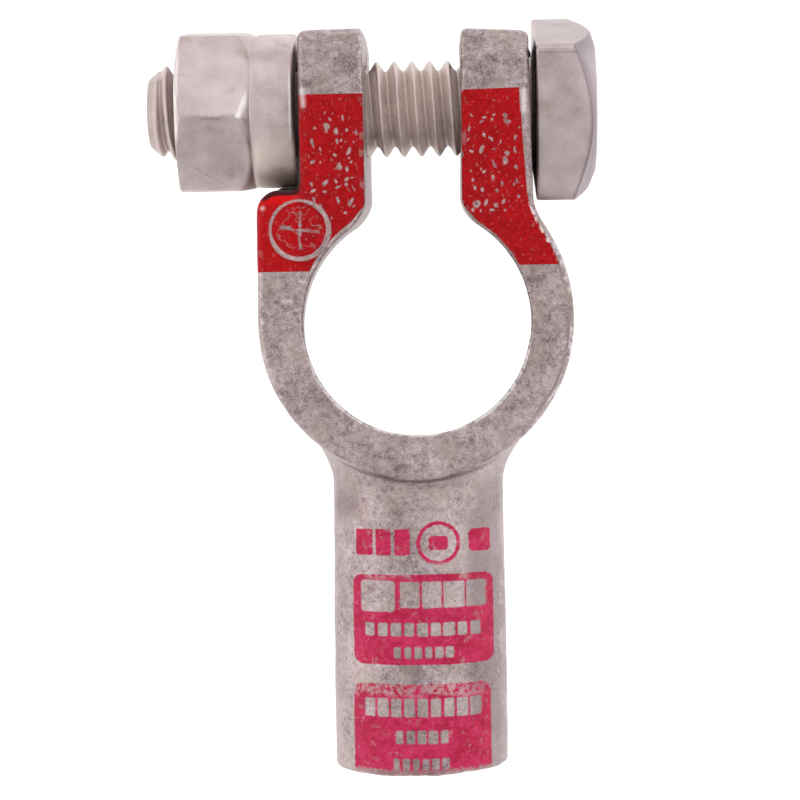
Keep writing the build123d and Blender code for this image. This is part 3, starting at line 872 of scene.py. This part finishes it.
def steel_material(name, seed, dark, light, stain):
    t = Tree(name)
    x, y, z = t.x, t.y, t.z
    off = (seed * 3.1, seed * 1.7, seed * 2.3)
    big = t.noise(0.18, 2.0, 0.5, offset=off)
    mid = t.noise(0.6, 3.0, 0.5, offset=off)
    fine = t.noise(4.5, 2.0, 0.6, offset=off)
    tone = t.range(big * 0.40 + mid * 0.42 + fine * 0.18, 0.38, 0.62, smooth=False)
    col = t.mix(tone, dark, light)
    st = t.range(t.noise(0.42, 3.0, 0.6, offset=(off[0] + 9, off[1], off[2])), 0.54, 0.72)
    col = t.mix(st * 0.42, col, stain)
    rad = ((y - bolt_y) * (y - bolt_y) + z * z).sqrt()
    if seed == 1:
        # the threaded length is dusty, and the face under the head is painted near-black as shade
        dull = t.range(x, 9.4, 8.6) * t.range(mid * 0.5 + fine * 0.5, 0.36, 0.60, 0.55, 0.95) * t.range(x, -19.2, -17.5, 0.45, 1.0)
        col = t.mix(dull, col, rgb(222, 206, 198))
        # painted shade in the thread's roots
        root_shade = t.range(rad + (fine - 0.5) * 0.15, thread_r - 0.35, thread_r - 0.85) * t.range(x, thread_end + 0.6, thread_end)
        col = t.mix(root_shade * 0.35, col, rgb(120, 100, 92))
        head_underside_shade = t.range(x + (fine - 0.5) * 0.04, 9.53, 9.49) * t.range(x, 9.30, 9.44) * t.range(rad, 4.1, 4.5) * t.range(y, 22.6, 21.4)
        cone = (rad - head_end_r) * 0.577 + x - head_x1
        # painted shade: the head's chamfer darkened against the highlight it takes, and a darker line where it meets
        # the sides
        col = t.mix(t.range(cone, -0.16, -0.04) * t.range(rad, 5.0, 5.4) * 0.55, col, rgb(118, 104, 108))
        col = t.mix(t.range((cone + 0.12).abs(), 0.14, 0.03) * t.range(rad, 5.0, 5.4) * 0.35, col, rgb(104, 92, 104))
        seam = t.range((y - 20.62).abs(), 0.10, 0.03) * t.range(x, 13.2, 12.6) * t.range(z, 5.0, 6.0) * t.range(x, 9.6, 9.8)
        col = t.mix(seam * 0.35, col, rgb(112, 98, 102))
        col = t.mix(t.range(y, 20.95, 21.35) * t.range(x, 9.5, 9.7) * 0.30, col, rgb(136, 121, 123))
        col = t.mix(head_underside_shade, col, rgb(50, 38, 35))
        metal = 1.0 - (dull * 0.55).max(head_underside_shade)
    else:
        # painted highlights on the outer end's edge, a chamfer and the collar's lip, a faint scratch, and low on the
        # collar a painted brown reflection and a pale, less metallic band of painted light
        # painted light: the lower collar made pale and less metallic, lighter than the dark casting it reflects
        collar_painted_light = t.range(y + (mid - 0.5) * 1.0, 15.4, 13.5) * t.range(x, -13.1, -12.5)
        col = t.mix(collar_painted_light * 0.80, col, rgb(232, 215, 204))
        # painted reflection: brown and dark at the collar's bottom, where it faces the lug's top
        collar_brown_reflection = t.range(y + (mid - 0.5) * 0.6, 12.75, 11.55) * t.range(x, -12.9, -12.3) * t.range(x, -12.8, -10.4, 0.62, 1.0)
        col = t.mix(collar_brown_reflection * 0.82, col, rgb(78, 60, 48))
        soft = t.range((y - 16.02 + (mid - 0.5) * 0.3).abs(), 0.30, 0.04) * t.range(z, 6.0, 6.6) * t.range(x, -17.6, -16.8) * t.range(x, -14.0, -14.8)
        col = t.mix(soft * t.range(mid * 0.7 + fine * 0.3, 0.44, 0.58) * 0.5, col, rgb(104, 88, 86))
        scr = ((x + 17.85) * 0.456 + (y - 12.65) * 0.89 + (mid - 0.5) * 0.25).abs()
        scr = t.range(scr, 0.09, 0.02) * t.range(x, -18.0, -17.6) * t.range(x, -14.8, -15.4) * t.range(z, 2.0, 2.6)
        col = t.mix(scr * 0.30, col, rgb(140, 118, 116))
        # painted highlights: white arcs on the outer end's edge, on a chamfer and along the collar's lip
        rim = t.range(x + (mid - 0.5) * 0.2, nut_out + 0.45, nut_out + 0.20) * t.range(rad, 5.9, 6.1) * t.range(y, 14.0, 15.6)
        chamfer_glint = t.range(x - (y - 16.1) * 0.365, -14.05, -13.85) * t.range(x, -12.9, -13.2) * t.range(y, 16.0, 16.2) * t.range(y, 18.6, 17.4) * t.range(z, 4.0, 5.0)
        collar_lip_glint = t.range((x + 9.76).abs(), 0.14, 0.04) * t.range(y, 13.5, 16.5) * t.range(y, 20.6, 18.6) * t.range(z, 2.0, 3.0)
        col = t.mix((rim * 0.6).max(chamfer_glint * 0.75).max(collar_lip_glint * 0.45), col, rgb(248, 240, 240))
        metal = 1.0 - collar_painted_light * 0.85
    t.set(Base_Color=col)
    t.set(Metallic=metal)
    t.set(Roughness=t.range(mid * 0.6 + fine * 0.4, 0.35, 0.65, 0.36, 0.48))
    t.bump(fine * 0.5 + mid * 0.4, 0.00005, 0.6)
    return t.mat


# ------------------------------------------------------------------ build --
casting = build_casting()
bolt = build_bolt()
nut = build_nut()
casting.data.materials.append(casting_material())
bolt.data.materials.append(steel_material("bolt_steel_finish", 1, rgb(178, 162, 162), rgb(208, 192, 193), rgb(150, 127, 112)))
nut.data.materials.append(steel_material("nut_steel_finish", 2, rgb(180, 164, 164), rgb(212, 197, 197), rgb(150, 128, 116)))

for piece, body, node, slot in (
    (casting, "casting", "clamp_body", "tinned_casting"),
    (bolt, "bolt", "clamp_bolt", "bolt_steel"),
    (nut, "nut", "clamp_nut", "nut_steel"),
):
    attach(piece, body)
    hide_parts(node)

# ------------------------------------------------------------------ stage --
floor_mesh = bpy.data.meshes.new("floor")
s = 0.9
floor_mesh.from_pydata([(-s, -s, -H * MM), (s, -s, -H * MM), (s, s, -H * MM), (-s, s, -H * MM)], [], [(0, 1, 2, 3)])
floor = bpy.data.objects.new("floor", floor_mesh)
bpy.context.scene.collection.objects.link(floor)
ft = Tree("pale_floor")
ft.set(Base_Color=(0.33, 0.33, 0.33, 1.0), Roughness=0.9)
ft.bsdf.inputs["Emission Color"].default_value = (1, 1, 1, 1)
ft.bsdf.inputs["Emission Strength"].default_value = 0.97
floor.data.materials.append(ft.mat)

world = bpy.data.worlds.new("tent")
bpy.context.scene.world = world
world.use_nodes = True
world.node_tree.nodes["Background"].inputs[0].default_value = (1.0, 1.0, 1.0, 1.0)
world.node_tree.nodes["Background"].inputs[1].default_value = 0.80


def area(name, at, aim, size, power, colour=(1, 1, 1)):
    data = bpy.data.lights.new(name, "AREA")
    data.shape = "RECTANGLE"
    data.size, data.size_y = size
    data.energy = power
    data.color = colour
    ob = bpy.data.objects.new(name, data)
    bpy.context.scene.collection.objects.link(ob)
    ob.location = at
    ob.rotation_mode = "QUATERNION"
    ob.rotation_quaternion = (Vector(aim) - Vector(at)).to_track_quat("-Z", "Y")
    return ob


area("top_panel", (0.02, 0.34, 0.26), (0, 0.0, 0), (0.5, 0.35), 0.30)
area("left_panel", (-0.40, 0.0, 0.14), (0, 0, 0), (0.3, 0.4), 0.30)
area("right_panel", (0.24, 0.0, 0.29), (0, 0, 0), (0.3, 0.4), 0.20)

# ----------------------------------------------------------------- camera --
cam_data = bpy.data.cameras.new("camera")
cam_data.sensor_width = 36.0
cam_data.lens = 106.02
cam_data.clip_start, cam_data.clip_end = 0.01, 10.0
cam = bpy.data.objects.new("camera", cam_data)
bpy.context.scene.collection.objects.link(cam)
psi, phi, roll = (math.radians(v) for v in (1.5, 0.5, 0.85))
back = Vector((math.sin(psi) * math.cos(phi), math.sin(phi), math.cos(psi) * math.cos(phi)))
r0 = Vector((math.cos(psi), 0, -math.sin(psi)))
r0 = (r0 - back * r0.dot(back)).normalized()
u0 = back.cross(r0)
right_v = math.cos(roll) * r0 - math.sin(roll) * u0
up_v = math.sin(roll) * r0 + math.cos(roll) * u0
place = Matrix((right_v, up_v, back)).transposed().to_4x4()
place.translation = Vector((3.36, -4.46, 189.93)) * MM
cam.matrix_world = place
bpy.context.scene.camera = cam

bpy.context.scene.view_settings.view_transform = "Standard"
bpy.context.scene.view_settings.look = "None"
